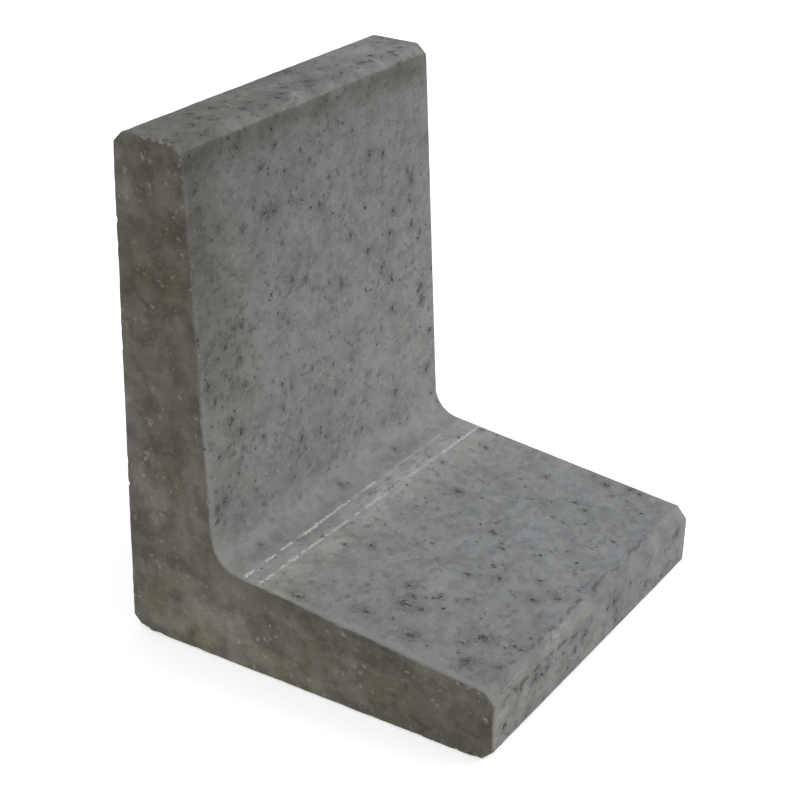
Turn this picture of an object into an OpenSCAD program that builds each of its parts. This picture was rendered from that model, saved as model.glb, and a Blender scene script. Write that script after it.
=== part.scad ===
// L-shaped retaining wall element, cast in one piece.
// An upright stem with a flat exposed back stands on the rear of a foot that carries the fill.
// X runs along the wall, -Y points to the toe, +Y is the exposed back, Z is up.
// The origin lies under the middle of the element, on the bedding.

/* [Overall] */
// Length of the element along the wall
wall_length = 400; // [250:10:600]
// Height of the stem above the bedding
wall_height = 500; // [300:10:800]
// Depth of the foot from its toe to the exposed back
foot_depth = 400; // [250:10:600]

/* [Stem] */
// Thickness of the stem at its top
stem_top = 73; // [50:1:110]
// Thickness of the stem, carried down to the underside
stem_base = 107; // [80:1:150]

/* [Foot] */
// Thickness of the foot at its toe
toe_thickness = 71; // [50:1:110]
// Thickness of the foot, carried through to the exposed back
heel_thickness = 111; // [80:1:150]

/* [Edges] */
// Radius of the fillet between stem and foot
fillet_r = 30; // [12:1:60]
// Leg of the chamfer along the upper edge of the toe
toe_chamfer = 11; // [6:1:20]
// Leg of the chamfers along both top edges of the stem
top_chamfer = 10; // [4:1:20]
// Leg of the chamfers along both lower edges of the foot
base_chamfer = 12; // [4:1:20]
// Leg of the arris that runs round the outline of each end
end_arris = 3; // [1:0.5:3.5]

/* [Hidden] */
$fn = 96;

concrete_grey = [0.46, 0.46, 0.44];

// The two sloping faces that meet in the fillet
stem_lean = atan((stem_base - stem_top) / wall_height);
foot_fall = atan((heel_thickness - toe_thickness) / foot_depth);

// Outward directions of the fill side of the stem and of the top of the foot,
// in the plane of the section: depth from the toe, then height
stem_out = [-cos(stem_lean), sin(stem_lean)];
foot_out = [-sin(foot_fall), cos(foot_fall)];

// How far each of those faces lies along its outward direction
stem_at = stem_out * [foot_depth - stem_base, 0];
foot_at = foot_out * [0, toe_thickness];

// Centre of the fillet, in the open, and where it runs out into the two faces
fillet_c = meet(stem_out, stem_at + fillet_r, foot_out, foot_at + fillet_r);
fillet_on_stem = fillet_c - fillet_r * stem_out;
fillet_on_foot = fillet_c - fillet_r * foot_out;

// How far the fillet is let into the faces that it joins, so that they meet in a clean line
bite = 0.002;

// How far the wedges of the end arris run on past their edges
mitre = 2 * end_arris;
fillet_lap = 5;

// Corners of the outline, anticlockwise from the foot's end of the fillet to the stem's
corners = [
    [toe_chamfer, foot_top(toe_chamfer)],
    [0, toe_thickness - toe_chamfer],
    [0, base_chamfer],
    [base_chamfer, 0],
    [foot_depth - base_chamfer, 0],
    [foot_depth, base_chamfer],
    [foot_depth, wall_height - top_chamfer],
    [foot_depth - top_chamfer, wall_height],
    [stem_face(wall_height) + top_chamfer, wall_height],
    [stem_face(wall_height - top_chamfer), wall_height - top_chamfer],
];
last = len(corners) - 1;

// Depth at which the fill side of the stem lies at height z
function stem_face(z) = foot_depth - stem_base + (stem_base - stem_top) * z / wall_height;

// Height of the top of the foot at depth y
function foot_top(y) = toe_thickness + (heel_thickness - toe_thickness) * y / foot_depth;

// Point that lies at distance da along direction a and at distance db along direction b
function meet(a, da, b, db) =
    [da * b[1] - db * a[1], db * a[0] - da * b[0]] / (a[0] * b[1] - a[1] * b[0]);

// Direction of a vector in the section, in degrees
function heading(v) = atan2(v[1], v[0]);

// Section of the element: depth from the toe along X, height along Y
module section() {
    difference() {
        polygon(concat([fillet_on_foot], corners, [fillet_on_stem, fillet_c]));
        translate(fillet_c) circle(fillet_r + bite);
    }
}

// Wedge that takes an arris off an edge at the origin, with the concrete above it and to its right
module wedge_section() {
    polygon([[2, -1], [-1, 2], [-1, -1]] * end_arris);
}

// Arris along a straight edge from p to q with the concrete on its left,
// run on past either end by the given lengths
module straight_arris(p, q, before, after) {
    translate(p) rotate(heading(q - p)) translate([-before, 0, 0])
        rotate([90, 0, 90]) linear_extrude(before + norm(q - p) + after) wedge_section();
}

// Arris round the fillet, run on past either end by the angle fillet_lap
module fillet_arris() {
    translate(fillet_c) rotate(heading(-foot_out) - fillet_lap)
        rotate_extrude(angle = heading(-stem_out) - heading(-foot_out) + 2 * fillet_lap)
            translate([fillet_r + bite, 0]) wedge_section();
}

// The whole arris of one end, which lies in the XY plane with the concrete above it.
// Straight wedges run on at outer corners, where that takes nothing more from the concrete,
// and the arc's own wedge runs on at the fillet.
module end_wedges() {
    straight_arris(fillet_on_foot, corners[0], 0, mitre);
    for (i = [0 : last - 1])
        straight_arris(corners[i], corners[i + 1], mitre, mitre);
    straight_arris(corners[last], fillet_on_stem, mitre, 0);
    fillet_arris();
}

module wall_element() {
    color(concrete_grey)
    translate([-wall_length / 2, -foot_depth / 2, 0]) rotate([90, 0, 90])
    difference() {
        linear_extrude(wall_length) section();
        end_wedges();
        translate([0, 0, wall_length]) mirror([0, 0, 1]) end_wedges();
    }
}

wall_element();
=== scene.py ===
import math

import bmesh
import bpy
import numpy as np
from mathutils import Matrix, Quaternion, Vector, geometry, kdtree, noise

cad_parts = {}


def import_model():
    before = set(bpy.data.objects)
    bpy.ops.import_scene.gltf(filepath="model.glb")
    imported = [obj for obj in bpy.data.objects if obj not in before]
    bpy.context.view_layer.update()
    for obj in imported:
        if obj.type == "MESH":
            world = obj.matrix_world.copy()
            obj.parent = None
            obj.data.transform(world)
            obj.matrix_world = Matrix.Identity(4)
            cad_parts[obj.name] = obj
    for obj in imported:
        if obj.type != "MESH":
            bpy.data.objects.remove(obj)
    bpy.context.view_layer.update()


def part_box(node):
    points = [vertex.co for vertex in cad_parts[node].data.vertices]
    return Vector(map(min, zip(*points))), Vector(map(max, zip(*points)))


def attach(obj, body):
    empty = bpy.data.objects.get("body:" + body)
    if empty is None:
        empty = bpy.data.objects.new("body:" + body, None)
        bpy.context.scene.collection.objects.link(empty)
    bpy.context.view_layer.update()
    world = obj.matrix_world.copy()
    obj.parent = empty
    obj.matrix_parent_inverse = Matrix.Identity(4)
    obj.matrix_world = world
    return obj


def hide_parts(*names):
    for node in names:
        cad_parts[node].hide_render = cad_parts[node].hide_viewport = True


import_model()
scene = bpy.context.scene

# The element stands in the CAD frame: X along the wall, -Y to the toe, +Z up, all in metres.
# The end at -X is the struck one, which lay open in the mould and was trowelled off.
# Every other face was cast against the mould.
SEED = 7
MM = 0.001
LOW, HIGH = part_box("wall_element")
HEIGHT = HIGH.z - LOW.z
DEPTH = HIGH.y - LOW.y
LENGTH = HIGH.x - LOW.x

# Section of the element
STEM_TOP = 73 * MM
STEM_BASE = 107 * MM
TOE_THICKNESS = 71 * MM
HEEL_THICKNESS = 111 * MM
FILLET_R = 30 * MM
TOE_CHAMFER = 11 * MM
TOP_CHAMFER = 10 * MM
BASE_CHAMFER = 12 * MM

# Rounding of the sharp corners of the section, and of the arris round each end
WORN_R = 2.4 * MM
END_ARRIS = 0.95 * WORN_R

# Spacing of the mesh: across the faces that are seen well, across the others, along the wall,
# over the end faces and round the arcs
FINE = 4.4 * MM
COARSE = 8.0 * MM
ALONG = 4.6 * MM
CAP = 4.6 * MM
ARC = 2.5 * MM

# Over the end faces, as shares of the spacing: how far the points are shaken and how clear of the
# edge they stay. Points closer than CAP_MERGE count as one.
CAP_SHAKE = 0.2
CAP_CLEAR = 0.6
CAP_MERGE = 1e-9

# At most this many points are measured against the outline at once
CHUNK = 2000

# Relief of the surface in millimetres: its slight waves, its grain and its worn arrises
WAVE_DEPTH, GRAIN_DEPTH, WEAR_DEPTH = 0.12, 0.12, 0.9

# Distance from an arris over which wear fades
WEAR_REACH = 2 * MM

# Edges that turn by more than this are shaded as sharp ones
SHARP_ANGLE = math.radians(38)

# Camera: what it looks at, from how far, from which side in degrees, and its lens in millimetres
TARGET = Vector((-0.0116, 0.0186, 0.2179))
DISTANCE = 1.768
AZIMUTH, ELEVATION, ROLL = 58.58, 25.88, 1.49
LENS = 83.48

# Light: the sky's strength on the object and as the camera sees it, and the lamp
SKY_LIGHT, SKY_SEEN = 0.72, 1.0
LAMP_PLACE, LAMP_SIZE, LAMP_POWER = (1.6, -1.8, 2.2), 1.6, 38

# Floor: its size, how far it lies below the element, and its glow as the camera sees it
FLOOR_SIZE, FLOOR_DROP, FLOOR_GLOW = 40, 0.5 * MM, 0.55


# -------- section

def stem_face(z):
    """Y of the fill side of the stem at height z."""
    return HIGH.y - STEM_BASE + (STEM_BASE - STEM_TOP) * z / HEIGHT


def foot_top(y):
    """Z of the top of the foot at depth y."""
    return TOE_THICKNESS + (HEEL_THICKNESS - TOE_THICKNESS) * (y - LOW.y) / DEPTH


def inner_corner():
    """Where the fill side of the stem would meet the top of the foot without the fillet."""
    lean = (STEM_BASE - STEM_TOP) / HEIGHT
    fall = (HEEL_THICKNESS - TOE_THICKNESS) / DEPTH
    z = foot_top(stem_face(0)) / (1 - lean * fall)
    return stem_face(z), z


def section_corners():
    """(name of the face before it, y, z, radius) of each corner, anticlockwise from the toe."""
    under_chamfer = HEIGHT - TOP_CHAMFER
    nose = LOW.y + TOE_CHAMFER
    return [
        ("toe", LOW.y, BASE_CHAMFER, WORN_R),
        ("lower_toe_chamfer", LOW.y + BASE_CHAMFER, 0, WORN_R),
        ("underside", HIGH.y - BASE_CHAMFER, 0, WORN_R),
        ("lower_heel_chamfer", HIGH.y, BASE_CHAMFER, WORN_R),
        ("back", HIGH.y, under_chamfer, WORN_R),
        ("back_chamfer", HIGH.y - TOP_CHAMFER, HEIGHT, WORN_R),
        ("top", stem_face(HEIGHT) + TOP_CHAMFER, HEIGHT, WORN_R),
        ("front_chamfer", stem_face(under_chamfer), under_chamfer, WORN_R),
        ("stem", *inner_corner(), FILLET_R),
        ("foot", nose, foot_top(nose), WORN_R),
        ("toe_chamfer", LOW.y, TOE_THICKNESS - TOE_CHAMFER, WORN_R),
    ]


def corner_arc(before, corner, after, radius):
    """Points and outward normals of the arc that rounds a corner, from face to face."""
    a = (corner - before).normalized()
    b = (after - corner).normalized()
    turn = math.atan2(a.x * b.y - a.y * b.x, a.dot(b))
    side = math.copysign(radius, turn)
    centre = corner - a * radius * math.tan(abs(turn) / 2) + side * Vector((-a.y, a.x))
    steps = max(2, math.ceil(radius * abs(turn) / ARC))
    points, normals = [], []
    for i in range(steps + 1):
        direction = Matrix.Rotation(turn * i / steps, 2) @ a
        normal = Vector((direction.y, -direction.x))
        points.append(centre + side * normal)
        normals.append(normal)
    return points, normals


def section_outline():
    """Outline of the section: its points (y, z), their outward normals and their faces' names."""
    corners = section_corners()
    spots = [Vector(c[1:3]) for c in corners]
    arcs = [
        corner_arc(spots[i - 1], spots[i], spots[(i + 1) % len(spots)], corners[i][3])
        for i in range(len(corners))
    ]
    points, normals, names = [], [], []
    for i, (name, *_) in enumerate(corners):
        start, end = arcs[i - 1][0][-1], arcs[i][0][0]
        spacing = COARSE if name in ("underside", "back") else FINE
        steps = max(1, round((end - start).length / spacing))
        run = [start.lerp(end, k / steps) for k in range(1, steps)]
        points += run + arcs[i][0]
        normals += [arcs[i][1][0]] * len(run) + arcs[i][1]
        names += [name] * (len(run) + len(arcs[i][0]))
    return np.array(points), np.array(normals), names


OUTLINE, OUTWARD, FACE_NAMES = section_outline()
AHEAD = np.roll(OUTLINE, -1, 0)
SIDE = AHEAD - OUTLINE
RUN = np.linalg.norm(SIDE, axis=1)
SHARP = np.array([c[1:3] for c in section_corners() if c[3] == WORN_R])


# -------- the cast body

def rings():
    """X, inset and lean along X of each ring: round one arris, along the wall, round the other."""
    steps = 4
    turns = [math.radians(90 * k / steps) for k in range(steps + 1)]
    arris = [(END_ARRIS * (1 - math.cos(t)), END_ARRIS * (1 - math.sin(t)), math.cos(t)) for t in turns]
    near = [(LOW.x + x, inset, -lean) for x, inset, lean in arris]
    far = [(HIGH.x - x, inset, lean) for x, inset, lean in reversed(arris)]
    straight = LENGTH - 2 * END_ARRIS
    count = round(straight / ALONG)
    return near + [(LOW.x + END_ARRIS + straight * k / count, 0, 0) for k in range(1, count)] + far


def patches(points, size, seed):
    """Smooth noise from about -1 to 1 at each point, in patches of about that size."""
    shift = Vector((3.7, 1.9, 2.3)) * seed
    return np.array([noise.noise(Vector(p) / size + shift) for p in points])


def inside(points, ring):
    """Which of the points lie inside the closed ring."""
    y, z = points[:, :1], points[:, 1:]
    a, b = ring, np.roll(ring, -1, 0)
    rise = b[:, 1] - a[:, 1]
    crosses = (a[:, 1] > z) != (b[:, 1] > z)
    reach = a[:, 0] + (b[:, 0] - a[:, 0]) * (z - a[:, 1]) / np.where(rise == 0, 1, rise)
    return (crosses & (y < reach)).sum(1) % 2 == 1


def end_cap(ring, rng):
    """Points inside an end face, and its triangles: first the ring's indices, then theirs."""
    row_spacing = CAP * math.sqrt(3) / 2
    ys = np.arange(LOW.y, HIGH.y, CAP)
    zs = np.arange(LOW.z, HIGH.z, row_spacing)
    grid = np.array([(y + k % 2 * CAP / 2, z) for k, z in enumerate(zs) for y in ys])
    grid += rng.uniform(-CAP_SHAKE, CAP_SHAKE, grid.shape) * CAP
    grid = grid[inside(grid, ring)]
    gap = np.linalg.norm(grid[:, None] - ring[None], axis=2).min(1)
    grid = grid[gap > CAP_CLEAR * CAP]
    both = [Vector(p) for p in np.vstack([ring, grid])]
    made = geometry.delaunay_2d_cdt(both, [], [list(range(len(ring)))], 1, CAP_MERGE)
    source = [ids[0] for ids in made[3]]
    return grid, [[source[i] for i in face] for face in made[2]]


def outline_distance(co):
    """Distance of each point's (y, z) from the outline of the section."""
    nearest = []
    for part in np.array_split(co[:, None, 1:], len(co) // CHUNK + 1):
        share = ((part - OUTLINE) * SIDE).sum(2) / (SIDE * SIDE).sum(1)
        foot = OUTLINE + SIDE * share.clip(0, 1)[..., None]
        nearest.append(np.linalg.norm(part - foot, axis=2).min(1))
    return np.concatenate(nearest)


def past_struck_arris(co):
    """How far each point lies past the arris of the struck end: less than 0 on the end itself."""
    past = co[:, 0] - LOW.x
    on_end = past < END_ARRIS
    past[on_end] -= outline_distance(co[on_end])
    return past


def wear(co):
    """How worn each point is: most on the struck end's arris, less on the others."""
    along = np.linalg.norm(co[:, None, 1:] - SHARP[None], axis=2).min(1)
    far = HIGH.x - co[:, 0]
    far[far < END_ARRIS] += outline_distance(co[far < END_ARRIS])
    gaps = (np.abs(past_struck_arris(co)), 1.0), (along, 0.5), (far, 0.25)
    return np.max([share * np.exp(-gap / WEAR_REACH) for gap, share in gaps], axis=0)


def roughen(co, outward):
    """Moves each point in along its normal, for slight waves and worn arrises."""
    wave = 0.5 + 0.5 * patches(co, 22 * MM, 1)
    grain = 0.5 + 0.5 * patches(co, 6 * MM, 2)
    ragged = np.clip(patches(co, 9 * MM, 3) + 0.1, 0, 1) + np.clip(patches(co, 35 * MM, 4), 0, 1)
    depth = (WAVE_DEPTH * wave + GRAIN_DEPTH * grain + WEAR_DEPTH * ragged * wear(co)) * MM
    return co - outward * depth[:, None]


def new_mesh(name, co, faces, material=None):
    """Mesh of those points and faces, of the material if one is given."""
    mesh = bpy.data.meshes.new(name)
    mesh.from_pydata(co.tolist(), [], faces)
    if material:
        mesh.materials.append(material)
    return mesh


def cast_body(rng):
    """The closed mesh of the element, before anything is cut from it or raised on it."""
    co, outward = [], []
    for x, inset, lean in rings():
        co.append(np.insert(OUTLINE - OUTWARD * inset, 0, x, axis=1))
        outward.append(np.insert(OUTWARD * math.sqrt(1 - lean * lean), 0, lean, axis=1))
    n, last = len(OUTLINE), len(co) - 1
    faces = [
        (i * n + j, i * n + (j + 1) % n, (i + 1) * n + (j + 1) % n, (i + 1) * n + j)
        for i in range(last)
        for j in range(n)
    ]
    total = len(co) * n
    for ring, side in ((0, -1), (last, 1)):
        edge = co[ring]
        grid, triangles = end_cap(edge[:, 1:], rng)
        shift = total - n
        faces += [tuple(i + ring * n if i < n else i + shift for i in t)[::side] for t in triangles]
        co.append(np.insert(grid, 0, edge[0, 0], axis=1))
        outward.append(np.tile([side, 0, 0], (len(grid), 1)))
        total += len(grid)
    return new_mesh("body", roughen(np.vstack(co), np.vstack(outward)), faces)


# -------- pores, chips and mould lines

def unit_ball(subdivisions):
    """Vertices and triangles of a unit icosphere."""
    bm = bmesh.new()
    bmesh.ops.create_icosphere(bm, subdivisions=subdivisions, radius=1)
    co = np.array([v.co for v in bm.verts])
    faces = np.array([[v.index for v in f.verts] for f in bm.faces])
    bm.free()
    return co, faces


BALLS = {level: unit_ball(level) for level in (1, 2)}


class Lumps:
    """Irregular balls, collected to be cut from the body or joined to it."""

    def __init__(self, rng):
        self.rng = rng
        self.balls = []

    def add(self, centre, sizes, frames, level, jitter):
        """Balls at the centres, with half sizes along the rows of their frames.

        The level says how finely they are split, and the jitter how uneven they are.
        """
        ball, faces = BALLS[level]
        bumps = 1 + self.rng.normal(0, jitter, (len(centre), len(ball), 1))
        shape = ball[None] * sizes[:, None] * bumps
        placed = np.einsum("nvk,nkc->nvc", shape, frames) + centre[:, None]
        self.balls += [(co, faces) for co in placed]

    def turns(self):
        """The turn of each ball: those with the same turn lie clear of each other."""
        low = np.array([co.min(0) for co, _ in self.balls])
        high = np.array([co.max(0) for co, _ in self.balls])
        turns = np.zeros(len(low), int)
        for i in range(1, len(low)):
            near = (low[:i] < high[i]).all(1) & (high[:i] > low[i]).all(1)
            taken = set(turns[:i][near])
            turns[i] = next(t for t in range(len(taken) + 1) if t not in taken)
        return turns

    def meshes(self, name, material):
        """A mesh for each turn, as one that overlaps itself would not combine cleanly."""
        turns = self.turns()
        for turn in range(turns.max() + 1):
            balls = [self.balls[i] for i in np.flatnonzero(turns == turn)]
            starts = np.cumsum([0] + [len(co) for co, _ in balls])
            faces = np.vstack([faces + start for (_, faces), start in zip(balls, starts)])
            yield new_mesh(name, np.vstack([co for co, _ in balls]), faces.tolist(), material)


def frames_on(normal, rng=None):
    """A frame for each normal, of rows: along the wall or down it, across, and the normal."""
    on_end = np.abs(normal[:, :1]) > 0.9
    along = np.where(on_end, [[0.0, 1.0, 0.0]], [[1.0, 0.0, 0.0]])
    a = along - normal * (along * normal).sum(1, keepdims=True)
    a /= np.linalg.norm(a, axis=1, keepdims=True)
    b = np.cross(normal, a)
    if rng is not None:
        turn = rng.uniform(0, 2 * math.pi, (len(normal), 1))
        a, b = a * np.cos(turn) + b * np.sin(turn), b * np.cos(turn) - a * np.sin(turn)
    return np.stack([a, b, normal], axis=1)


# Pores for each square metre of each face of the section, where the crowd is PLAIN_CROWD.
# TRIED times as many are tried, so that crowded places can keep more and the others fewer.
PORES = {
    "toe": 2800, "lower_toe_chamfer": 1500, "underside": 700, "lower_heel_chamfer": 1500,
    "back": 1000, "back_chamfer": 1500, "top": 5000, "front_chamfer": 5000, "stem": 2900,
    "foot": 1800, "toe_chamfer": 700,
}
PLAIN_CROWD = 0.6
TRIED = 2.5

# Radius of a lone pore's first ball in millimetres: the least, the usual surplus and the most
PORE_LEAST, PORE_MORE, PORE_MOST = 0.55, 0.36, 1.9

# Most balls in the row that makes a pore, and the share of rows that go on after each ball
ROW_MOST = 4
ROW_GOES_ON = 0.34

# How far the pores of a group scatter from its centre, as a share of its radius
GROUP_SPREAD = 0.36

# Places with more or fewer pores than elsewhere, in millimetres: centre, half sizes, how many more
PITTED = [
    ((-150, 115, 240), (25, 30, 60), 1.4),
    ((-175, 120, 330), (20, 30, 30), 0.8),
    ((-130, -110, 80), (70, 70, 30), 0.7),
    ((-180, 100, 170), (20, 30, 30), 0.7),
    ((-60, 135, 500), (140, 16, 10), 0.6),
    ((0, 80, 108), (400, 22, 22), -0.9),
]

# The clearest groups of pores, in millimetres. On the stem: X, Z and radius
STEM_GROUPS = [
    (-184, 455, 3), (-122, 477, 5), (-90, 450, 4), (-66, 465, 4), (-122, 401, 3), (-87, 407, 5),
    (-73, 405, 5), (-30, 403, 4), (-63, 372, 3), (0, 390, 5), (16, 413, 4), (87, 415, 5),
    (111, 411, 4), (60, 447, 3), (155, 381, 3), (163, 370, 6), (157, 349, 4), (126, 346, 4),
    (48, 345, 5), (-52, 331, 5), (-30, 326, 4), (78, 320, 4), (118, 326, 5), (160, 324, 4),
    (28, 300, 5), (101, 295, 5), (118, 277, 6), (-145, 316, 4), (-133, 315, 4), (-159, 303, 4),
    (-139, 284, 4), (-188, 275, 5), (-179, 256, 4), (-134, 256, 5), (-158, 230, 6), (-145, 215, 7),
    (-112, 195, 3), (-78, 210, 4), (118, 245, 5), (173, 250, 6), (174, 235, 5), (188, 197, 4),
    (-176, 158, 5), (-188, 153, 5), (-51, 169, 5), (118, 153, 4), (180, 155, 5),
]

# On the foot: X, Y and radius
FOOT_GROUPS = [
    (-147, 84, 4), (-8, 87, 4), (90, 85, 4), (-90, 28, 4), (-190, 14, 5), (-168, -47, 5),
    (-135, -67, 8), (-120, -67, 4), (-107, -55, 4), (-133, -83, 5), (-103, -87, 4), (-172, -97, 6),
    (-151, -138, 5), (-132, -150, 8), (-172, -155, 6), (-40, -113, 5), (-55, -88, 5), (6, -91, 3),
    (25, -70, 5), (67, -5, 5), (-75, 8, 4), (154, -60, 4), (130, -105, 4), (123, -120, 4),
    (183, -114, 5), (193, 40, 4), (163, 18, 3), (91, -168, 3), (-17, -145, 4), (-32, -170, 5),
    (-50, -154, 6), (192, -138, 4), (191, -149, 4), (-160, -182, 4), (-125, -177, 3),
]

# On the top: X, distance from the fill side and radius
TOP_GROUPS = [
    (-130, 33, 5), (-125, 45, 4), (-102, 42, 5), (-67, 26, 5), (-40, 14, 6), (-28, 17, 5),
    (8, 10, 5), (33, 54, 7), (47, 9, 5), (62, 11, 4), (105, 15, 5), (152, 13, 5), (172, 15, 4),
    (-150, 24, 4), (-85, 18, 4), (-12, 28, 4), (128, 22, 4), (20, 22, 4),
]

# On the toe: X, Z and radius
TOE_GROUPS = [
    (-153, 53, 4), (-125, 47, 4), (-114, 46, 4), (-103, 48, 4), (-50, 52, 4), (-47, 35, 3),
    (-29, 42, 4), (34, 46, 4), (40, 22, 3), (69, 49, 3), (175, 53, 6), (-180, 30, 4),
]


def blob(co, centre, size):
    """1 at the centre, fading to 0 over about the given half sizes."""
    return np.exp(-(((co - np.array(centre)) / np.array(size)) ** 2).sum(1))


def patch(co, centre, size):
    """The same as blob, for a centre and half sizes in millimetres."""
    return blob(co, np.array(centre) * MM, np.array(size) * MM)


def mould_pores(rng):
    """Centres and normals of the pores on the faces that were cast against the mould."""
    wide = LENGTH - 3 * END_ARRIS
    counts = rng.poisson(RUN * wide * np.array([PORES[name] for name in FACE_NAMES]) * TRIED)
    which = np.repeat(np.arange(len(OUTLINE)), counts)
    share = rng.uniform(0, 1, (len(which), 1))
    spot = OUTLINE[which] * (1 - share) + AHEAD[which] * share
    centre = np.insert(spot, 0, rng.uniform(-wide / 2, wide / 2, len(which)), axis=1)
    normal = np.insert(OUTWARD[which], 0, 0, axis=1)
    crowd = 0.4 + patches(centre, 30 * MM, 11) + 0.7 * patches(centre, 12 * MM, 12)
    for place, size, more in PITTED:
        crowd += more * patch(centre, place, size)
    kept = rng.uniform(0, TRIED * PLAIN_CROWD, len(which)) < crowd
    return centre[kept], normal[kept]


def on_stem(x, z):
    """The point of the fill side of the stem at X and Z."""
    return x, stem_face(z), z


def on_foot(x, y):
    """The point of the foot, or of the fillet above it, that lies over X and Y."""
    start, fall = fillet_foot()
    if y <= start.x:
        return x, y, foot_top(y)
    centre = start + Vector((-fall.y, fall.x)) * FILLET_R
    return x, y, centre.y - math.sqrt(FILLET_R ** 2 - (y - centre.x) ** 2)


def on_top(x, back):
    """The point of the top at X, that far back from the fill side."""
    return x, stem_face(HEIGHT) + back, HEIGHT


def on_toe(x, z):
    """The point of the toe's upright face at X and Z."""
    return x, LOW.y, z


def group_places():
    """Centre, outward direction and radius of each of the clearest groups of pores."""
    centre, normal, radius = [], [], []
    lean = Vector((0, -HEIGHT, STEM_BASE - STEM_TOP)).normalized()
    fall = Vector((0, TOE_THICKNESS - HEEL_THICKNESS, DEPTH)).normalized()
    kinds = (
        (STEM_GROUPS, on_stem, lean), (FOOT_GROUPS, on_foot, fall),
        (TOP_GROUPS, on_top, (0, 0, 1)), (TOE_GROUPS, on_toe, (0, -1, 0)),
    )
    for groups, place, outward in kinds:
        for across, up, size in groups:
            centre.append(place(across * MM, up * MM))
            normal.append(outward)
            radius.append(size * MM)
    return np.array(centre), np.array(normal), np.array(radius)


def group_pores(rng, made):
    """Adds the pores of each group, scattered about its centre."""
    centre, normal, radius = group_places()
    count = (3 + radius / MM).astype(int)
    centre, normal, radius = (np.repeat(a, count, axis=0) for a in (centre, normal, radius))
    frames = frames_on(normal, rng)
    off = (rng.normal(0, GROUP_SPREAD, len(radius)) * radius)[:, None]
    size = rng.uniform(0.5, 1.0, (len(radius), 1)) * (0.6 * MM + 0.13 * radius[:, None])
    shape = rng.uniform((1.0, 0.6, 0.4), (2.1, 1.1, 0.8), (len(size), 3))
    sizes = size * shape
    places = centre + frames[:, 0] * off - normal * 0.3 * size
    made.add(places, sizes, frames_on(normal, rng), 1, 0.15)


def lone_pores(rng, made):
    """Adds pores all over the cast faces, each of one to four balls in a ragged row."""
    centre, normal = mould_pores(rng)
    radius = (PORE_LEAST + rng.exponential(PORE_MORE, len(centre))).clip(0, PORE_MOST) * MM
    places = []
    for _ in range(ROW_MOST):
        frames = frames_on(normal, rng)
        stretch = rng.uniform(0.8, 1.5, len(radius))
        depth = radius * rng.uniform(0.45, 0.9, len(radius))
        sizes = np.column_stack([radius * stretch, radius / stretch, depth])
        sunk = centre - normal * (depth * rng.uniform(-0.1, 0.4, len(radius)))[:, None]
        made.add(sunk, sizes, frames, 1, 0.15)
        places.append(centre)
        again = rng.uniform(0, 1, len(radius)) < ROW_GOES_ON
        centre, normal, radius = centre[again], normal[again], radius[again]
        centre = centre + frames[again, 0] * (radius * rng.uniform(1.0, 1.9, len(radius)))[:, None]
        radius = radius * rng.uniform(0.6, 1.1, len(radius))
    return np.vstack(places)


# Broken places on the arrises, in millimetres: centre, half sizes along X, Y and Z
BREAKS = [
    ((-200, 164, 501), (5, 5, 3)), ((-200, 154, 502), (6, 6, 4)), ((-200, 145, 501), (7, 6, 4)),
    ((-198, 137, 500), (5, 4, 3)), ((-200, 127, 484), (2, 2, 4)), ((-200, 186, 1), (5, 8, 4)),
    ((-200, 168, 0), (4, 9, 3)), ((-200, 200, 34), (3, 2, 3)), ((-200, 120, 0), (4, 14, 2)),
    ((-200, 20, 0), (4, 12, 2)), ((-200, -120, 0), (4, 16, 2)), ((-200, -184, 2), (4, 9, 4)),
    ((-200, -200, 4), (4, 4, 5)), ((-200, 200, 300), (3, 2, 9)), ((-200, 200, 395), (3, 3, 5)),
    ((-200, 200, 180), (3, 2, 7)),
]

# Small chips of each end: its X and outward side, how many a metre, and the largest radius in
# millimetres before it is stretched
CHIPS = ((LOW.x, -1, 70, 3.0), (HIGH.x, 1, 20, 1.2))


def arris_places(rng, x, side, each_metre):
    """Random places along the arris of one end, and outward directions there."""
    which = rng.choice(len(OUTLINE), round(RUN.sum() * each_metre), p=RUN / RUN.sum())
    outward = np.insert(OUTWARD[which], 0, side, axis=1) / math.sqrt(2)
    return np.insert(OUTLINE[which], 0, x, axis=1), outward


def chips(rng):
    """Small chips out of the end arrises, most at the struck end, and the larger broken places."""
    made = Lumps(rng)
    for x, side, each_metre, largest in CHIPS:
        centre, outward = arris_places(rng, x, side, each_metre)
        size = (0.6 + rng.exponential(0.6, len(centre))).clip(0, largest) * MM
        sizes = size[:, None] * rng.uniform(0.7, 1.7, (len(centre), 3))
        made.add(centre + outward * (size * 0.3)[:, None], sizes, frames_on(outward, rng), 2, 0.1)
    places = np.array([b[0] for b in BREAKS]) * MM
    sizes = np.array([b[1] for b in BREAKS]) * MM
    made.add(places, sizes, np.tile(np.eye(3), (len(places), 1, 1)), 2, 0.14)
    return made.meshes("chips", broken_face())


# Pale lines left on the foot by the joints of the mould, in millimetres. Each has its distance
# from the fillet at the near and at the far end, how unbroken it is, and the stretches along the
# wall, from the near end, where it stands proud.
MOULD_LINES = [
    (5, 5, 0.9, [(5, 17), (38, 52), (62, 80), (97, 178), (205, 224)]),
    (6.4, 6.4, 1.0, [(4, 14), (99, 118)]),
    (22, 27, 0.6, [
        (5, 26), (39, 46), (53, 63), (72, 146), (160, 168), (180, 214), (258, 274), (318, 394),
    ]),
]

# Spacing of the balls along a line, in millimetres
LINE_SPACING = 2.3


def fillet_foot():
    """Where the fillet runs out into the foot (Y, Z), and the direction up the foot from there."""
    fall = Vector((DEPTH, HEEL_THICKNESS - TOE_THICKNESS)).normalized()
    corner = Vector(inner_corner())
    return corner_arc(corner + Vector((0, 1)), corner, corner - fall, FILLET_R)[0][-1], fall


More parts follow.
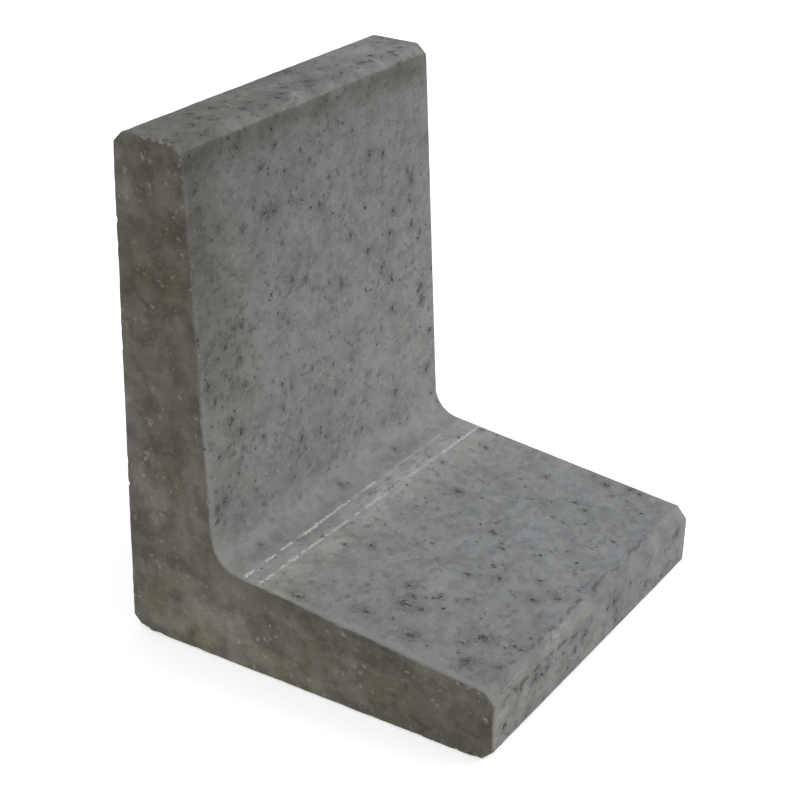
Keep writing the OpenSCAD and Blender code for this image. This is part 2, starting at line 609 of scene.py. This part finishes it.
def mould_lines(rng):
    """Low ragged ridges along the pale lines of the foot."""
    start, fall = fillet_foot()
    made = Lumps(rng)
    for near, far, unbroken, stretches in MOULD_LINES:
        x = np.concatenate([np.arange(a, b, LINE_SPACING) for a, b in stretches]) * MM
        x = x[rng.uniform(0, 1, len(x)) < unbroken]
        x = x + rng.uniform(-1.0, 1.0, len(x)) * MM
        out = (near + (far - near) * x / LENGTH + rng.normal(0, 0.45, len(x))) * MM
        centre = np.column_stack([x + LOW.x, start.x - out * fall.x, start.y - out * fall.y])
        normal = np.tile([0, -fall.y, fall.x], (len(x), 1))
        wide, high = rng.uniform(1.0, 2.3, len(x)), rng.uniform(0.2, 0.42, len(x))
        sizes = np.column_stack([rng.uniform(1.0, 2.6, len(x)), wide, high]) * MM
        made.add(centre - normal * 0.1 * MM, sizes, frames_on(normal), 1, 0.15)
    return made.meshes("mould_lines", laitance())


# Stretches of the toe's chamfer with a ragged ridge of mortar, along X, and the spacing of the
# ridge's balls, all in millimetres
TOE_RIDGES = [(-178, -140), (-126, -34)]
RIDGE_SPACING = 3.2


def toe_ridges(rng, material):
    """Ragged ridges of mortar along the lower half of the toe's chamfer."""
    y = LOW.y + TOE_CHAMFER
    upper, lower = Vector((y, foot_top(y))), Vector((LOW.y, TOE_THICKNESS - TOE_CHAMFER))
    down = (lower - upper).normalized()
    x = np.concatenate([np.arange(a, b, RIDGE_SPACING) for a, b in TOE_RIDGES]) * MM
    x = x + rng.uniform(-1.5, 1.5, len(x)) * MM
    share = 0.60 + 0.10 * np.sin(x / (11 * MM)) + rng.normal(0, 0.05, len(x))
    spot = np.array(upper)[None] * (1 - share[:, None]) + np.array(lower)[None] * share[:, None]
    normal = np.tile([0, down.y, -down.x], (len(x), 1))
    across, high = rng.uniform(1.6, 2.8, len(x)), rng.uniform(0.9, 1.7, len(x))
    sizes = np.column_stack([rng.uniform(2.5, 7.0, len(x)), across, high]) * MM
    made = Lumps(rng)
    places = np.insert(spot, 0, x, axis=1) - normal * 0.2 * MM
    made.add(places, sizes, frames_on(normal), 2, 0.08)
    return made.meshes("toe_ridges", material)


def triangulate(mesh):
    """Splits the faces into triangles, which stay flat: a bent face would fold up when it is cut."""
    made = bmesh.new()
    made.from_mesh(mesh)
    bmesh.ops.triangulate(made, faces=made.faces)
    made.to_mesh(mesh)
    made.free()


def drop_crumbs(mesh):
    """Removes the crumbs that the cuts left apart from the body."""
    made = bmesh.new()
    made.from_mesh(mesh)
    body, ahead = set(), [min(made.verts, key=lambda v: v.co.z)]
    while ahead:
        vert = ahead.pop()
        if vert not in body:
            body.add(vert)
            ahead += [edge.other_vert(vert) for edge in vert.link_edges]
    bmesh.ops.delete(made, geom=[v for v in made.verts if v not in body], context="VERTS")
    made.to_mesh(mesh)
    made.free()


def combine(mesh, tools, operation):
    """Cuts the tools out of the mesh in turn, or joins them on, and returns the new mesh."""
    for tool in tools:
        mesh = boolean(mesh, tool, operation)
    return mesh


def boolean(mesh, tool, operation):
    """The mesh with one tool cut out of it or joined to it, in triangles."""
    objects = [bpy.data.objects.new(m.name, m) for m in (mesh, tool)]
    for o in objects:
        scene.collection.objects.link(o)
    step = objects[0].modifiers.new("combine", "BOOLEAN")
    step.operation = operation
    step.solver = "MANIFOLD"
    step.material_mode = "TRANSFER"
    step.object = objects[1]
    graph = bpy.context.evaluated_depsgraph_get()
    made = bpy.data.meshes.new_from_object(objects[0].evaluated_get(graph))
    for o in objects:
        bpy.data.objects.remove(o)
    triangulate(made)
    return made


# -------- stains

# Stains on the cast faces and on the struck end, in millimetres: centre, half sizes,
# brightness, and how brown (above 0) or blue (below 0). One low on the struck end is painted light.
CAST_STAINS = [
    ((-192, 120, 400), (34, 60, 130), 0.60, 1.9),
    ((-165, 120, 370), (42, 40, 160), 0.84, 0.7),
    ((-148, 115, 270), (24, 30, 70), 0.88, 0.6),
    ((0, 133, 495), (300, 9, 5), 1.10, 0.0),
    ((-110, 165, 505), (100, 60, 12), 1.08, 0.7),
    ((-195, 165, 505), (25, 50, 12), 1.28, 0.3),
    ((20, 192, 500), (70, 14, 20), 0.66, 0.0),
    ((120, 165, 500), (110, 60, 14), 1.39, -0.3),
    ((30, -90, 90), (260, 130, 60), 1.01, -1.4),
    ((40, -188, 76), (300, 16, 12), 0.91, -1.2),
    ((0, 36, 100), (300, 26, 30), 1.36, 0.7),
    ((-190, -60, 85), (25, 200, 40), 0.95, 0.5),
    ((-100, -40, 90), (35, 70, 30), 1.09, 0.0),
    ((-160, -160, 80), (70, 40, 30), 0.90, 0.0),
    ((190, -150, 75), (150, 130, 60), 0.88, -0.5),
    ((-60, 30, 100), (90, 20, 30), 1.05, 0.0),
    ((0, -194, 64), (300, 7, 8), 0.88, 1.0),
    ((-105, -195, 66), (80, 5, 6), 1.30, 0.5),
    ((-185, -200, 40), (26, 6, 34), 1.06, 1.2),
    ((0, -200, 35), (300, 6, 40), 0.98, 0.4),
    ((190, -200, 50), (80, 10, 30), 1.0, 0.3),
]
END_STAINS_AND_LIGHT = [
    ((-200, 142, 370), (30, 48, 130), 0.70, 2.9),
    ((-200, 198, 330), (30, 12, 190), 1.16, -0.8),
    # Painted light: the bottom of the struck end is lighter, as if lit by light off the floor.
    ((-200, 100, 8), (30, 170, 55), 1.72, 0.4),
    ((-200, 170, 150), (30, 50, 60), 1.15, 0.4),
    ((-200, 184, 448), (9, 10, 9), 1.35, -2.0),
    ((-200, 196, 247), (9, 7, 18), 1.30, -1.5),
    ((-200, 150, 346), (30, 26, 16), 1.14, -0.5),
    ((-200, 188, 208), (30, 13, 16), 0.80, -0.4),
    ((-200, 40, 31), (30, 190, 9), 0.88, 0.4),
]

# What a brown of 1 adds to red, green and blue
BROWN = np.array([0.017, -0.012, -0.068])


def stain_and_light_colour(co, stains):
    """The colour that the stains and some painted light multiply the concrete by, at each point."""
    ragged = 0.85 + 0.6 * patches(co, 14 * MM, 21)
    colour = np.ones((len(co), 3))
    for place, size, bright, brown in stains:
        share = patch(co, place, size) * ragged
        colour *= 1 + share.clip(0, 1)[:, None] * ((bright - 1) + bright * brown * BROWN)
    return colour


def stem_painted_shading(co):
    """Painted shading of the cast faces: darker up the stem, a little lighter away from the struck end.
    """
    up = np.interp(co[:, 2], [0, 190 * MM, HEIGHT], [1.05, 1.05, 0.66])
    return up * (1 + 0.06 * co[:, 0] / HIGH.x)


def clouds(co):
    """The narrow faces at the top and at the toe are patchier than the wide ones."""
    narrow = (co[:, 2] > HEIGHT - TOP_CHAMFER) | (co[:, 1] < LOW.y + TOE_CHAMFER)
    return 1 + 0.22 * narrow * patches(co, 16 * MM, 31)


# How pale the smear between the mould lines is, at places along X in millimetres
SMEAR = [
    (-200, 0.7), (-135, 0.7), (-110, 0.3), (-30, 0.35), (0, 0.95), (80, 0.95), (110, 0.5), (200, 0.35),
]

# Places where the surface is plainer than elsewhere, in millimetres: centre, half sizes and how
# much. They run from end to end.
ENDLESS = 9999
CALM = [
    ((0, 82, 108), (ENDLESS, 26, 24), 1.0),
    ((0, -195, 66), (ENDLESS, 8, 8), 0.9),
    ((0, -60, 90), (ENDLESS, 180, 30), 0.3),
]

# Distance over which the dirt round a lone pore fades
PORE_HALO = 2.6 * MM


def smear(co):
    """How much pale smear lies on each point between the lines that the mould left."""
    start, fall = fillet_foot()
    out = (start.x - co[:, 1]) / fall.x
    band = np.interp(out, [-6 * MM, 5 * MM, 26 * MM, 36 * MM], [0, 1, 1, 0]) * (co[:, 2] > TOE_THICKNESS)
    places, shares = np.array(SMEAR).T
    ragged = 0.6 + 0.8 * patches(co * [0.3, 1, 1], 9 * MM, 41)
    return (band * np.interp(co[:, 0], places * MM, shares) * ragged).clip(0, 1)


def paint_stains_and_shading(mesh):
    """Stores per vertex the stains and painted shading, distance past the struck arris, smear and calm.
    """
    co = vertices(mesh)
    # The cast stains also carry the painted shading along and up the stem.
    cast = stain_and_light_colour(co, CAST_STAINS) * (stem_painted_shading(co) * clouds(co))[:, None]
    store(mesh, "cast_stain_and_shading", "FLOAT_COLOR", np.insert(cast, 3, 1, axis=1))
    store(mesh, "end_stain_and_light", "FLOAT_COLOR", np.insert(stain_and_light_colour(co, END_STAINS_AND_LIGHT), 3, 1, axis=1))
    store(mesh, "past_arris", "FLOAT", past_struck_arris(co) / MM)
    store(mesh, "smear", "FLOAT", smear(co))
    calm = [share * patch(co, place, size) for place, size, share in CALM]
    store(mesh, "calm", "FLOAT", np.max(calm, axis=0))


def paint_grime(mesh, places):
    """Stores the dirt at each vertex: 1 in a group of pores, 0.6 at a lone one and 0 beyond."""
    co = vertices(mesh)
    tree = kdtree.KDTree(len(places))
    for i, place in enumerate(places):
        tree.insert(place, i)
    tree.balance()
    gap = np.array([tree.find(point)[2] for point in co])
    grime = 0.6 * np.exp(-(gap / PORE_HALO) ** 2)
    for centre, _, radius in zip(*group_places()):
        grime = np.maximum(grime, blob(co, centre, [1.5 * radius] * 3))
    store(mesh, "grime", "FLOAT", grime)


def store(mesh, name, kind, values):
    """Keeps a value for each vertex, for the materials to read."""
    layer = mesh.attributes.new(name, kind, "POINT")
    field = "color" if kind == "FLOAT_COLOR" else "value"
    layer.data.foreach_set(field, values.astype(np.float32).ravel())


def vertices(mesh):
    """Coordinates of the vertices, one row each."""
    co = np.empty(len(mesh.vertices) * 3, np.float32)
    mesh.vertices.foreach_get("co", co)
    return co.reshape(-1, 3).astype(float)


# -------- materials

# Colours in linear light. The tint, the crease's dirt, the painted shadow under the ridges
# and the olive stain with its painted shade multiply what they lie on.
GREY_DARK, GREY_PALE = (0.199, 0.201, 0.190), (0.240, 0.244, 0.232)
GREY_TINT = (1.0, 0.988, 1.02)
BLOOM, FLECK = (0.33, 0.33, 0.31), (0.37, 0.37, 0.35)
END_DARK, END_PALE = (0.126, 0.112, 0.081), (0.180, 0.168, 0.140)
STROKE = (0.235, 0.22, 0.19)
COARSE_SAND, FINE_SAND = (0.34, 0.32, 0.265), (0.32, 0.295, 0.24)
# The pale strip's colour is partly paler wear and partly a painted highlight on the arris.
PALE_STRIP_AND_HIGHLIGHT, SEAM = (0.28, 0.28, 0.262), (0.37, 0.38, 0.385)
# The second colour here is painted shadow under the toe's ridges of mortar.
CREASE_DIRT, RIDGE_SHADOW_COLOUR = (0.50, 0.43, 0.38), (0.38, 0.36, 0.33)
# Olive stain with painted shade below the top chamfer.
OLIVE_AND_SHADE = (0.55, 0.55, 0.47)
SURFACE_SAND = (0.42, 0.42, 0.40)
PORE_DARK, PORE_PALE = (0.07, 0.07, 0.066), (0.16, 0.16, 0.152)
STONE_DARK, STONE_PALE = (0.16, 0.15, 0.13), (0.42, 0.39, 0.33)
BROKEN_PASTE = (0.19, 0.185, 0.17)
SKIN_DARK, SKIN_PALE = (0.36, 0.36, 0.345), (0.62, 0.62, 0.60)
FLOOR_GREY = (0.8, 0.8, 0.8)


class Shader:
    """The node tree of one material, with short calls that add a node and return its output."""

    def __init__(self, name):
        self.material = bpy.data.materials.new(name)
        self.material.use_nodes = True
        self.tree = self.material.node_tree
        self.bsdf = self.tree.nodes["Principled BSDF"]
        self.place = self.node("TexCoord").outputs["Object"]

    def node(self, kind, inputs=(), **settings):
        """Adds a node with those inputs and settings."""
        made = self.tree.nodes.new("ShaderNode" + kind)
        for key, value in settings.items():
            setattr(made, key, value)
        for key, value in dict(inputs).items():
            self.feed(made.inputs[key], value)
        return made

    def feed(self, socket, value):
        """Links another node's output to the socket, or sets its value."""
        if isinstance(value, bpy.types.NodeSocket):
            self.tree.links.new(value, socket)
        elif socket.type == "RGBA":
            socket.default_value = (*value, 1)
        else:
            socket.default_value = value

    def math(self, operation, a, b=0.0):
        """Result of a maths operation."""
        return self.node("Math", {0: a, 1: b}, operation=operation).outputs[0]

    def plus(self, a, b):
        """a + b"""
        return self.math("ADD", a, b)

    def minus(self, a, b):
        """a - b"""
        return self.math("SUBTRACT", a, b)

    def times(self, a, b):
        """a * b"""
        return self.math("MULTIPLY", a, b)

    def vector(self, operation, a, b):
        """Result of a maths operation on vectors, or on one and a number."""
        key = "Scale" if operation == "SCALE" else 1
        return self.node("VectorMath", {0: a, key: b}, operation=operation).outputs[0]

    def noise(self, size, detail=2.0, roughness=0.5, place=None, output="Fac"):
        """Cloudy noise about 0.5, with clouds of about that size."""
        inputs = {"Vector": place or self.place, "Scale": 1 / size}
        inputs |= {"Detail": detail, "Roughness": roughness}
        return self.node("TexNoise", inputs).outputs[output]

    def cells(self, size, place=None):
        """Random cells of that size: the distance from each one's centre, and its own random number."""
        made = self.node("TexVoronoi", {"Vector": place or self.place, "Scale": 1 / size})
        own = self.node("SeparateColor", {0: made.outputs["Color"]}).outputs[0]
        return made.outputs["Distance"], own

    def step(self, value, low, high, share=1.0):
        """0 below low and share above high, with a smooth rise between them."""
        inputs = {"Value": value, "From Min": low, "From Max": high, "To Max": share}
        return self.node("MapRange", inputs, interpolation_type="SMOOTHSTEP").outputs[0]

    def within(self, off, edge, core, share=1.0):
        """Share where off is nearer to 0 than core, fading to 0 at edge."""
        return self.step(self.math("ABSOLUTE", off), edge, core, share)

    def sway(self, size, amount, detail=2.0):
        """Noise of that size about 0, which spans about that amount."""
        return self.times(self.minus(self.noise(size, detail), 0.5), amount)

    def mix(self, share, a, b, blend="MIX"):
        """Colour a, blended with that share of colour b."""
        made = self.node("Mix", data_type="RGBA", blend_type=blend)
        for key, value in ((0, share), (6, a), (7, b)):
            self.feed(made.inputs[key], value)
        return made.outputs[2]

    def darken(self, colour, share):
        """The colour, taken towards black by that share."""
        return self.mix(share, colour, (0, 0, 0))

    def attribute(self, name, output="Fac"):
        """What paint_stains_and_shading or paint_grime stored under that name."""
        return self.node("Attribute", attribute_name=name).outputs[output]

    def warped(self, amount, size):
        """The object's coordinates, pushed about by noise of that size."""
        push = self.vector("SUBTRACT", self.noise(size, output="Color"), (0.5, 0.5, 0.5))
        return self.vector("ADD", self.place, self.vector("SCALE", push, amount))

    def stretched(self, x, y, z):
        """The object's coordinates, scaled along each axis."""
        return self.vector("MULTIPLY", self.place, (x, y, z))

    def bump(self, height, distance):
        """Normal of the surface with that relief on it."""
        inputs = {"Height": height, "Distance": distance, "Strength": 1.0}
        return self.node("Bump", inputs).outputs[0]

    def finish(self, colour, roughness, normal=None):
        """Feeds the surface, and returns the finished material."""
        self.feed(self.bsdf.inputs["Base Color"], colour)
        self.feed(self.bsdf.inputs["Roughness"], roughness)
        if normal:
            self.feed(self.bsdf.inputs["Normal"], normal)
        return self.material


def fine_pores(s, size, share, radius):
    """Mask of round-edged fine pores: the given share of cells of that size has one."""
    distance, own = s.cells(size, s.warped(0.5 * size, 0.8 * size))
    reach = s.step(own, 1 - share, 1, radius)
    return s.step(s.minus(reach, distance), 0, 0.22)


def specks(s, size, rare, radius):
    """Mask of ragged grains of sand, which gather in patches: the higher rare is, the fewer."""
    distance, own = s.cells(size, s.warped(0.9 * size, 0.5 * size))
    own = s.plus(own, s.minus(s.step(s.noise(45 * MM, 2), 0.35, 0.65, 0.34), 0.17))
    return s.times(s.step(own, rare, 1, 0.6), s.step(distance, 2.4 * radius, 0.5 * radius))


def mould_colour(s):
    """Grey concrete as it leaves the mould: faintly cloudy, with dark smudges and small marks."""
    wide = s.stretched(0.86, 1.08, 1.08)
    shade = s.mix(s.step(s.noise(45 * MM, 3), 0.3, 0.7), GREY_DARK, GREY_PALE)
    shade = s.darken(shade, s.step(s.noise(16 * MM, 2, 0.5, wide), 0.56, 0.36, 0.145))
    shade = s.mix(s.step(s.noise(22 * MM, 2), 0.42, 0.58), shade, GREY_TINT, "MULTIPLY")
    shade = s.mix(s.step(s.noise(8 * MM, 2, 0.5, wide), 0.50, 0.66, 0.13), shade, BLOOM)
    rough = s.minus(1, s.attribute("calm"))
    smudge = s.step(s.noise(7.5 * MM, 2, 0.55, wide), 0.54, 0.68)
    crowd = s.times(s.step(s.noise(24 * MM, 2), 0.36, 0.6, 0.34), rough)
    shade = s.darken(shade, s.times(smudge, crowd))
    mark = s.step(s.noise(4.6 * MM, 2, 0.5, s.warped(4 * MM, 6 * MM)), 0.60, 0.70)
    crowd = s.times(s.step(s.noise(14 * MM, 2), 0.42, 0.58, 0.36), rough)
    shade = s.darken(shade, s.times(mark, crowd))
    fleck = s.step(s.noise(5.5 * MM, 2, 0.5, s.warped(3 * MM, 7 * MM)), 0.62, 0.72, 0.40)
    shade = s.mix(s.times(fleck, rough), shade, FLECK)
    ragged = s.step(s.noise(3.4 * MM, 2, 0.6), 0.26, 0.62, 0.58)
    return s.darken(shade, s.times(s.attribute("grime"), ragged))


def struck_colour(s):
    """The trowelled end: brown and mottled, with faint strokes and pale specks of sand."""
    shade = s.mix(s.step(s.noise(60 * MM, 3, 0.55), 0.36, 0.62), END_DARK, END_PALE)
    shade = s.darken(shade, s.step(s.noise(19 * MM, 2, 0.5), 0.60, 0.34, 0.34))
    shade = s.darken(shade, s.step(s.attribute("past_arris"), -20, -4, 0.12))
    stroke = s.noise(8 * MM, 3, 0.6, s.stretched(1, 0.45, 1))
    shade = s.mix(s.step(stroke, 0.48, 0.74, 0.26), shade, STROKE)
    shade = s.darken(shade, s.step(s.noise(4 * MM, 2, 0.6), 0.44, 0.30, 0.20))
    shade = s.mix(specks(s, 10 * MM, 0.64, 0.13), shade, COARSE_SAND)
    return s.mix(specks(s, 5 * MM, 0.80, 0.13), shade, FINE_SAND)


def struck_share(s, z):
    """1 on the struck end and 0 on the cast faces: a crisp wavy edge, but a soft ragged one high up."""
    high = s.step(z, 250 * MM, 340 * MM)
    wave = s.sway(28 * MM, 5)
    ragged = s.sway(6 * MM, s.plus(3, s.times(high, 11)), 3)
    edge = s.plus(s.attribute("past_arris"), s.plus(wave, ragged))
    edge = s.plus(edge, s.minus(1.3, s.times(high, 2.2)))
    soft = s.plus(0.7, s.times(high, 3.6))
    return s.step(s.math("DIVIDE", edge, soft), 1, -1)


def pale_strip_and_highlight(s, z):
    """Smooth pale strip by the struck arris, on the foot and low on the stem: wear and painted
    highlight.
    """
    near = s.step(s.attribute("past_arris"), 11, 4)
    low = s.step(z, 330 * MM, 240 * MM)
    return s.times(near, s.times(low, 0.45))


def crease(s, x, y):
    """Dirt along the edge between the foot and the toe's chamfer, over part of its length."""
    off = s.plus(s.minus(y, LOW.y + TOE_CHAMFER), s.sway(14 * MM, 7 * MM, 3))
    line = s.within(off, 2.6 * MM, 0.2 * MM)
    length = s.within(s.minus(x, 5 * MM), 160 * MM, 110 * MM, 0.8)
    gaps = s.step(s.noise(11 * MM, 2), 0.42, 0.60)
    return s.times(line, s.times(length, gaps))


def ridge_shadow(s, x, y, z):
    """Painted shadow under the ridges of mortar, along the lower edge of the toe's chamfer."""
    off = s.minus(z, TOE_THICKNESS - TOE_CHAMFER - 1.5 * MM)
    off = s.plus(off, s.sway(20 * MM, 14 * MM))
    line = s.within(off, 4.0 * MM, 0.6 * MM)
    length = s.within(s.plus(x, 125 * MM), 70 * MM, 45 * MM, 0.85)
    front = s.step(y, LOW.y + TOE_CHAMFER, LOW.y + 0.5 * TOE_CHAMFER)
    gaps = s.times(s.step(s.noise(10 * MM, 2), 0.42, 0.56), front)
    return s.times(line, s.times(length, gaps))


def seam(s, x, y, near, far):
    """A faint pale line on the foot where the mould was joined, with gaps in it."""
    start, fall = fillet_foot()
    slope = (far - near) * MM / LENGTH
    out = s.minus(start.x - near * MM * fall.x + LOW.x * slope, y)
    off = s.minus(out, s.times(x, slope))
    off = s.plus(off, s.sway(6 * MM, 2.5 * MM))
    line = s.within(off, 3.0 * MM, 0.6 * MM)
    return s.times(line, s.step(s.noise(14 * MM, 3, 0.6), 0.32, 0.60, 0.62))


def seams(s, x, y, z):
    """The pale lines of the mould's joints, and the smear between them."""
    lines = [seam(s, x, y, near, far) for near, far, *_ in (MOULD_LINES[0], MOULD_LINES[-1])]
    lines = s.times(s.math("MAXIMUM", *lines), s.step(z, 60 * MM, 90 * MM))
    streaks = s.noise(4 * MM, 3, 0.6, s.stretched(0.35, 1, 1))
    smeared = s.times(s.attribute("smear"), s.step(streaks, 0.30, 0.62, 0.85))
    short_of_end = s.step(x, HIGH.x - MM, HIGH.x - 3 * MM)
    return s.times(s.math("MAXIMUM", lines, smeared), short_of_end)


def olive_stain_and_shade(s, y, z):
    """Dark olive stain and painted shade below the fill side's top chamfer, with a crisp upper edge."""
    edge = s.plus(z, s.times(s.noise(9 * MM), 2 * MM))
    below = s.step(edge, HEIGHT - 7.0 * MM, HEIGHT - 8.2 * MM)
    top = s.step(z, HEIGHT - 42 * MM, HEIGHT - 14 * MM)
    fill_side = s.step(y, stem_face(HEIGHT) + 14 * MM, stem_face(HEIGHT) + 9 * MM)
    patchy = s.plus(0.45, s.step(s.noise(30 * MM, 2), 0.3, 0.6, 0.55))
    return s.times(s.times(below, top), s.times(fill_side, patchy))


def cast_concrete():
    """The surface of the element: mould-cast faces, and the struck end past its arris."""
    s = Shader("cast_concrete")
    x, y, z = s.node("SeparateXYZ", {0: s.place}).outputs
    sand = s.noise(1.8 * MM, 2, 0.6)
    dents = s.noise(11 * MM, 3, 0.55)
    # Pale strip by the struck arris: wear with a painted highlight.
    cast = s.mix(pale_strip_and_highlight(s, z), mould_colour(s), PALE_STRIP_AND_HIGHLIGHT)
    cast = s.mix(seams(s, x, y, z), cast, SEAM)
    cast = s.mix(crease(s, x, y), cast, CREASE_DIRT, "MULTIPLY")
    # Painted shadow under the toe's ridges of mortar.
    cast = s.mix(ridge_shadow(s, x, y, z), cast, RIDGE_SHADOW_COLOUR, "MULTIPLY")
    # Olive stain with painted shade below the top chamfer.
    cast = s.mix(olive_stain_and_shade(s, y, z), cast, OLIVE_AND_SHADE, "MULTIPLY")
    cast = s.mix(1.0, cast, s.attribute("cast_stain_and_shading", "Color"), "MULTIPLY")
    struck = s.mix(1.0, struck_colour(s), s.attribute("end_stain_and_light", "Color"), "MULTIPLY")
    shade = s.mix(struck_share(s, z), cast, struck)
    shade = s.mix(s.step(sand, 0.35, 0.8, 0.10), shade, SURFACE_SAND)
    pore = fine_pores(s, 3.4 * MM, 0.15, 0.4)
    # The fine pores are darkened in the colour: painted shade in their hollows.
    shade = s.darken(shade, s.times(pore, 0.26))
    relief = s.plus(s.times(sand, 0.2), s.times(dents, 0.5))
    relief = s.minus(relief, s.times(pore, 0.4))
    return s.finish(shade, 0.85, s.bump(relief, 0.5 * MM))


def pore_lining():
    """Inside of the pores, darkened partly by dust and damp and partly as painted shade."""
    s = Shader("pore_lining")
    return s.finish(s.mix(s.noise(1.2 * MM), PORE_DARK, PORE_PALE), 0.95)


def broken_face():
    """Broken concrete in the chips: pale sand and small stones in grey paste."""
    s = Shader("broken_face")
    distance, own = s.cells(2.2 * MM)
    stone = s.mix(own, STONE_DARK, STONE_PALE)
    shade = s.mix(s.step(distance, 0.25, 0.45), stone, BROKEN_PASTE)
    return s.finish(shade, 0.9, s.bump(s.times(distance, -1), 0.6 * MM))


def laitance():
    """Pale cement skin on the lines that the mould left."""
    s = Shader("laitance")
    return s.finish(s.mix(s.noise(2.5 * MM, 3), SKIN_DARK, SKIN_PALE), 0.8)


# -------- the piece

def wall_piece():
    """The element as it is seen, with all that is raised on it and cut from it."""
    rng = np.random.default_rng(SEED)
    body = cast_body(rng)
    concrete = cast_concrete()
    body.materials.append(concrete)
    triangulate(body)
    body = combine(body, mould_lines(rng), "UNION")
    body = combine(body, toe_ridges(rng, concrete), "UNION")
    holes = Lumps(rng)
    group_pores(rng, holes)
    places = lone_pores(rng, holes)
    body = combine(body, holes.meshes("pores", pore_lining()), "DIFFERENCE")
    body = combine(body, chips(rng), "DIFFERENCE")
    drop_crumbs(body)
    paint_stains_and_shading(body)
    paint_grime(body, places)
    body.shade_smooth()
    body.set_sharp_from_angle(angle=SHARP_ANGLE)
    piece = bpy.data.objects.new("cast_wall_element", body)
    scene.collection.objects.link(piece)
    flats = piece.modifiers.new("flats", "WEIGHTED_NORMAL")
    flats.keep_sharp = True
    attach(piece, "root")
    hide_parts("wall_element")


# -------- stage, light and camera

def floor():
    """Plain white floor: it takes the object's shadow, and is white where nothing shades it."""
    s = Shader("floor_white")
    bpy.ops.mesh.primitive_plane_add(size=FLOOR_SIZE, location=(0, 0, LOW.z - FLOOR_DROP))
    plane = bpy.context.object
    plane.name = "floor"
    s.finish(FLOOR_GREY, 1.0)
    seen = s.node("LightPath").outputs["Is Camera Ray"]
    strength = s.times(seen, FLOOR_GLOW)
    glow = s.node("Emission", {"Color": (1, 1, 1), "Strength": strength})
    both = s.node("AddShader", {0: s.bsdf.outputs[0], 1: glow.outputs[0]})
    s.feed(s.tree.nodes["Material Output"].inputs["Surface"], both.outputs[0])
    plane.data.materials.append(s.material)


def world():
    """Even sky light, and pure white where the camera sees past the floor."""
    sky = bpy.data.worlds.new("studio")
    sky.use_nodes = True
    tree = sky.node_tree
    path = tree.nodes.new("ShaderNodeLightPath")
    strength = tree.nodes.new("ShaderNodeMapRange")
    strength.inputs["To Min"].default_value = SKY_LIGHT
    strength.inputs["To Max"].default_value = SKY_SEEN
    tree.links.new(path.outputs["Is Camera Ray"], strength.inputs["Value"])
    tree.nodes["Background"].inputs["Color"].default_value = (1, 1, 1, 1)
    tree.links.new(strength.outputs[0], tree.nodes["Background"].inputs["Strength"])
    scene.world = sky


def facing(direction):
    """Rotation that points a lamp or a camera along the direction."""
    return direction.to_track_quat("-Z", "Y")


def add_to_scene(name, data, place, rotation):
    """A new object with that data, in its place and turned that way."""
    made = bpy.data.objects.new(name, data)
    made.location = place
    made.rotation_mode = "QUATERNION"
    made.rotation_quaternion = rotation
    scene.collection.objects.link(made)
    return made


def softbox(name, place, size, power):
    """Square area lamp that faces the object."""
    light = bpy.data.lights.new(name, "AREA")
    light.size = size
    light.energy = power
    add_to_scene(name, light, place, facing(TARGET - Vector(place)))


def camera():
    """The camera, at the photo's angle."""
    a, e = math.radians(AZIMUTH), math.radians(ELEVATION)
    back = Vector((-math.sin(a) * math.cos(e), -math.cos(a) * math.cos(e), math.sin(e)))
    data = bpy.data.cameras.new("camera")
    data.lens = LENS
    turned = facing(-back) @ Quaternion((0, 0, 1), math.radians(ROLL))
    scene.camera = add_to_scene("camera", data, TARGET + back * DISTANCE, turned)


wall_piece()
floor()
world()
softbox("key", LAMP_PLACE, LAMP_SIZE, LAMP_POWER)
camera()
scene.view_settings.view_transform = "Standard"
